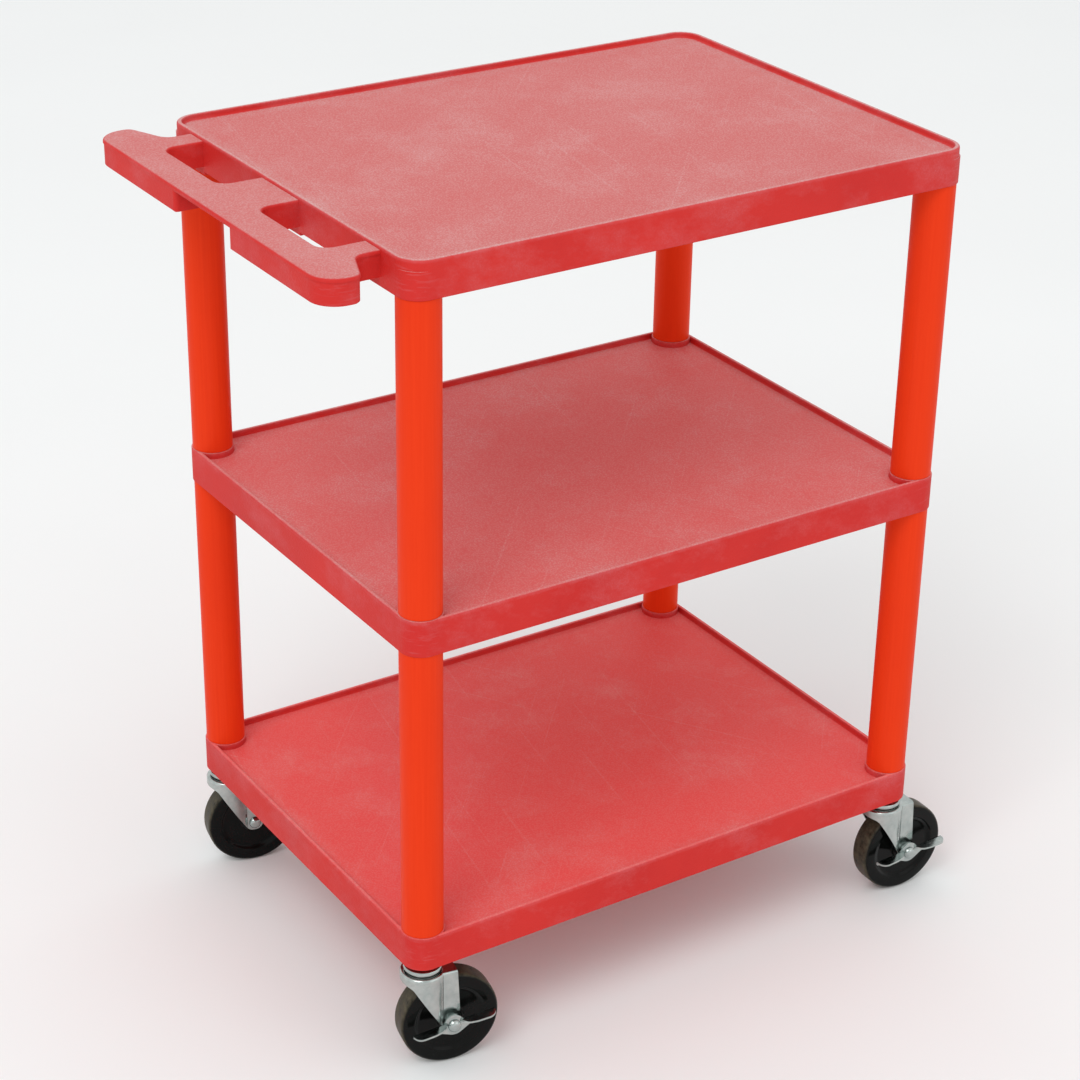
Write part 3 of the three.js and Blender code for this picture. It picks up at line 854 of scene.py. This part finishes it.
def cam():
    """A plain disc with softened edges, between the fork's cheek and the lever."""
    near = CHEEK_OUTSIDE + GAP
    far = near + CAM_THICKNESS
    bore = AXLE_RADIUS + BOLT_CLEARANCE
    return mesh_object("cam", *along_y(turned([
        (bore, near), (CAM_RADIUS - 0.6, near), (CAM_RADIUS, near + 0.6),
        (CAM_RADIUS, far - 0.8), (CAM_RADIUS - 0.8, far), (bore, far),
    ], 40)))


def lever():
    """A rocker about its own origin: an upright web with a pedal folded outwards at each end."""
    top = 5
    inside = -LEVER_INSIDE
    outside = inside - LEVER_STEEL
    bend = 3.0
    web = rounded([
        (-LEVER_REACH, top - bend, 0), (-LEVER_REACH, top - 4.5, 0), (-17, -3, 12),
        (0, -12, 12),
        (17, -3, 12), (LEVER_REACH, top - 4.5, 0), (LEVER_REACH, top - bend, 0),
        (12, top - bend, 3), (7, top + 4, 5), (0, 14, 8), (-7, top + 4, 5), (-12, top - bend, 3),
    ], 6.0)
    thing = mesh_object("lever", *side_plate(web, outside, inside))
    # the fold: a bent strip from the web's upper edge out to the pedal's front edge, seen end on
    front = outside - PEDAL_WIDTH
    inner = bend - LEVER_STEEL
    fold_outer = [(inside - bend + y, top - bend + z) for y, z in arc(0, 0, bend, 0, 90, 6)]
    fold_inner = [(inside - bend + y, top - bend + z) for y, z in arc(0, 0, inner, 90, 0, 4)]
    section = [(inside, top - bend - 0.5)] + fold_outer + [(front - 2, top), (front - 2, top - LEVER_STEEL)]
    section += fold_inner + [(outside, top - bend - 0.5)]
    for end in (-1, 1):
        x0, x1 = sorted((end * PEDAL_START, end * LEVER_REACH))
        strip = skin([[(x, y, z) for y, z in section] for x in (x0, x1)])
        piece = mesh_object("pedal", *strip)
        corners = [
            (end * PEDAL_START, inside + 1, 0), (end * LEVER_REACH, inside + 1, 0),
            (end * LEVER_REACH, front, 8.5), (end * 22, front + 0.6, 14), (end * 13, front + 2.5, 9),
            (end * PEDAL_START, outside + 1.5, 2),
        ]
        plan = rounded(corners if end < 0 else list(reversed(corners)), 6.0)
        boolean(piece, prism(plan, -8, 12), "INTERSECT")
        boolean(thing, taken_apart(piece), "UNION")
    axle_hole = along_y(rod(AXLE_RADIUS + LEVER_CLEARANCE, LEVER_INSIDE - 3, LEVER_INSIDE + 6))
    boolean(thing, axle_hole, "DIFFERENCE")
    return soften(thing, 0.3, 2, 40)


# ---- build --------------------------------------------------------------------------------------
tube = leg_plastic()
plate = zinc()
black = wheel_black()
bearing = plain_steel()
nylon = black_nylon()

STEP_UP = LEG_SHOWN + SHELF_HEIGHT
bottom_z, middle_z, top_z = (CASTER_HEIGHT + STEP_UP * i for i in range(3))
# the second number paints the lower decks brighter, as painted light against the shade of the shelves above;
# the third mixes chalk with painted sheen
red_top = shelf_plastic("red_foam_top", 0.95, 0.31, top_z)
red_middle = shelf_plastic("red_foam_middle", 1.20, 0.255, middle_z)
red_bottom = shelf_plastic("red_foam_bottom", 1.36, 0.140, bottom_z)

settle(shelf("Bottom_shelf", bottom_z, True, False), red_bottom, "cart", "bottom_shelf")
settle(shelf("Middle_shelf", middle_z, True, True), red_middle, "cart", "middle_shelf")

top_shelf = shelf("Top_shelf", top_z, False, True)
boolean(top_shelf, taken_apart(handle(top_z)), "UNION")
for side in (-1, 1):
    ends = sorted((side * SLOT_INNER_END, side * SLOT_OUTER_END))
    outside = -SHELF_X - OVERSHOOT
    inside = -SHELF_X + SKIRT_THICKNESS + OVERSHOOT
    boolean(top_shelf, block(outside, inside, *ends, top_z - OVERSHOOT, top_z + WALL_RELIEF), "DIFFERENCE")
settle(top_shelf, red_top, "cart", "top_shelf")

for name, sx, sy, swivel, tilt in CASTERS:
    x, y = sx * LEG_X, sy * LEG_Y
    lower = leg(f"Lower_leg_{name}", x, y, bottom_z + SHELF_HEIGHT, middle_z)
    upper = leg(f"Upper_leg_{name}", x, y, middle_z + SHELF_HEIGHT, top_z)
    settle(lower, tube, "cart", f"{name}_lower_leg")
    settle(upper, tube, "cart", f"{name}_upper_leg")

    stand = Matrix.Translation(Vector((x, y, 0)) * MM)
    turn = stand @ Matrix.Rotation(math.radians(swivel), 4, "Z")
    axle = turn @ Matrix.Translation(Vector((TRAIL, 0, WHEEL_RADIUS)) * MM)
    swivel_body = f"{name}_swivel_body"
    braked = tilt is not None

    pieces = [
        ("Stem_socket", socket(), nylon, "cart", "socket_plastic", stand),
        ("Caster_stem", stem(), plate, "cart", "zinc_steel", stand),
        ("Ball_race", ball_race(), bearing, swivel_body, "bearing_steel", turn),
        ("Fork", fork(), plate, swivel_body, "zinc_steel", turn),
        ("Wheel", wheel(), black, f"{name}_wheel_body", "wheel_rubber", axle),
        ("Wheel_bush", bush(), bearing, swivel_body, "bearing_steel", axle),
        ("Axle_bolt", bolt(braked), plate, swivel_body, "zinc_steel", axle),
        ("Axle_nut", nut(), plate, swivel_body, "zinc_steel", axle),
    ]
    if braked:
        rocked = axle @ Matrix.Rotation(math.radians(tilt), 4, "Y")
        pieces += [
            ("Brake_cam", cam(), plate, swivel_body, "zinc_steel", axle),
            ("Brake_lever", lever(), plate, f"{name}_lever_body", "zinc_steel", rocked),
        ]
    for title, thing, finish, body, slot, matrix in pieces:
        thing.name = f"{title}_{name}"
        thing.data.name = thing.name
        settle(thing, finish, body, f"{name}_{title.lower()}", matrix)


# ---- floor, light, camera -----------------------------------------------------------------------
FLOOR_REACH = 12
WORLD_STRENGTH = 0.88
CART_MIDDLE = (0, 0, 0.5)
FOCAL_LENGTH = 88.34
SENSOR_WIDTH = 36
CAMERA_PLACE = (-1.3235, -2.0000, 1.6225)
CAMERA_HEADING = 56.813
CAMERA_DIP = 26.770
CAMERA_ROLL = 0.946

floor_mesh = bpy.data.meshes.new("Floor")
floor_corners = [(x * FLOOR_REACH, y * FLOOR_REACH, 0) for x, y in ((-1, -1), (1, -1), (1, 1), (-1, 1))]
floor_mesh.from_pydata(floor_corners, [], [(0, 1, 2, 3)])
floor = bpy.data.objects.new("Floor", floor_mesh)
bpy.context.scene.collection.objects.link(floor)
paper = Shading("pale_floor")
paper.set(
    Base_Color=paper.mix(paper.noise(1.5), colour(0.87, 0.885, 0.885), colour(0.90, 0.915, 0.915)),
    Roughness=0.9,
    Specular_IOR_Level=0.1,
)
floor.data.materials.append(paper.material)

world = bpy.data.worlds.new("Studio")
bpy.context.scene.world = world
world.use_nodes = True
background = world.node_tree.nodes["Background"]
background.inputs["Color"].default_value = (1, 1, 1, 1)
background.inputs["Strength"].default_value = WORLD_STRENGTH


def softbox(name, place, size, power):
    """A square soft light that faces the middle of the cart."""
    light = bpy.data.lights.new(name, "AREA")
    light.shape = "RECTANGLE"
    light.size = size
    light.size_y = size
    light.energy = power
    lamp = bpy.data.objects.new(name, light)
    lamp.location = place
    aim = Vector(CART_MIDDLE) - Vector(place)
    lamp.rotation_euler = aim.to_track_quat("-Z", "Y").to_euler()
    bpy.context.scene.collection.objects.link(lamp)


softbox("Key", place=(-4.84, -3.08, 6.88), size=4.0, power=215)
softbox("Fill", place=(1.2, -3.4, 1.8), size=2.2, power=8)

camera_data = bpy.data.cameras.new("Camera")
camera_data.sensor_width = SENSOR_WIDTH
camera_data.lens = FOCAL_LENGTH
camera_data.dof.use_dof = False
camera = bpy.data.objects.new("Camera", camera_data)
bpy.context.scene.collection.objects.link(camera)
camera.matrix_world = (
    Matrix.Translation(CAMERA_PLACE)
    @ Matrix.Rotation(math.radians(CAMERA_HEADING - 90), 4, "Z")
    @ Matrix.Rotation(math.radians(90 - CAMERA_DIP), 4, "X")
    @ Matrix.Rotation(math.radians(CAMERA_ROLL), 4, "Z")
)
bpy.context.scene.camera = camera
bpy.context.scene.view_settings.view_transform = "Standard"
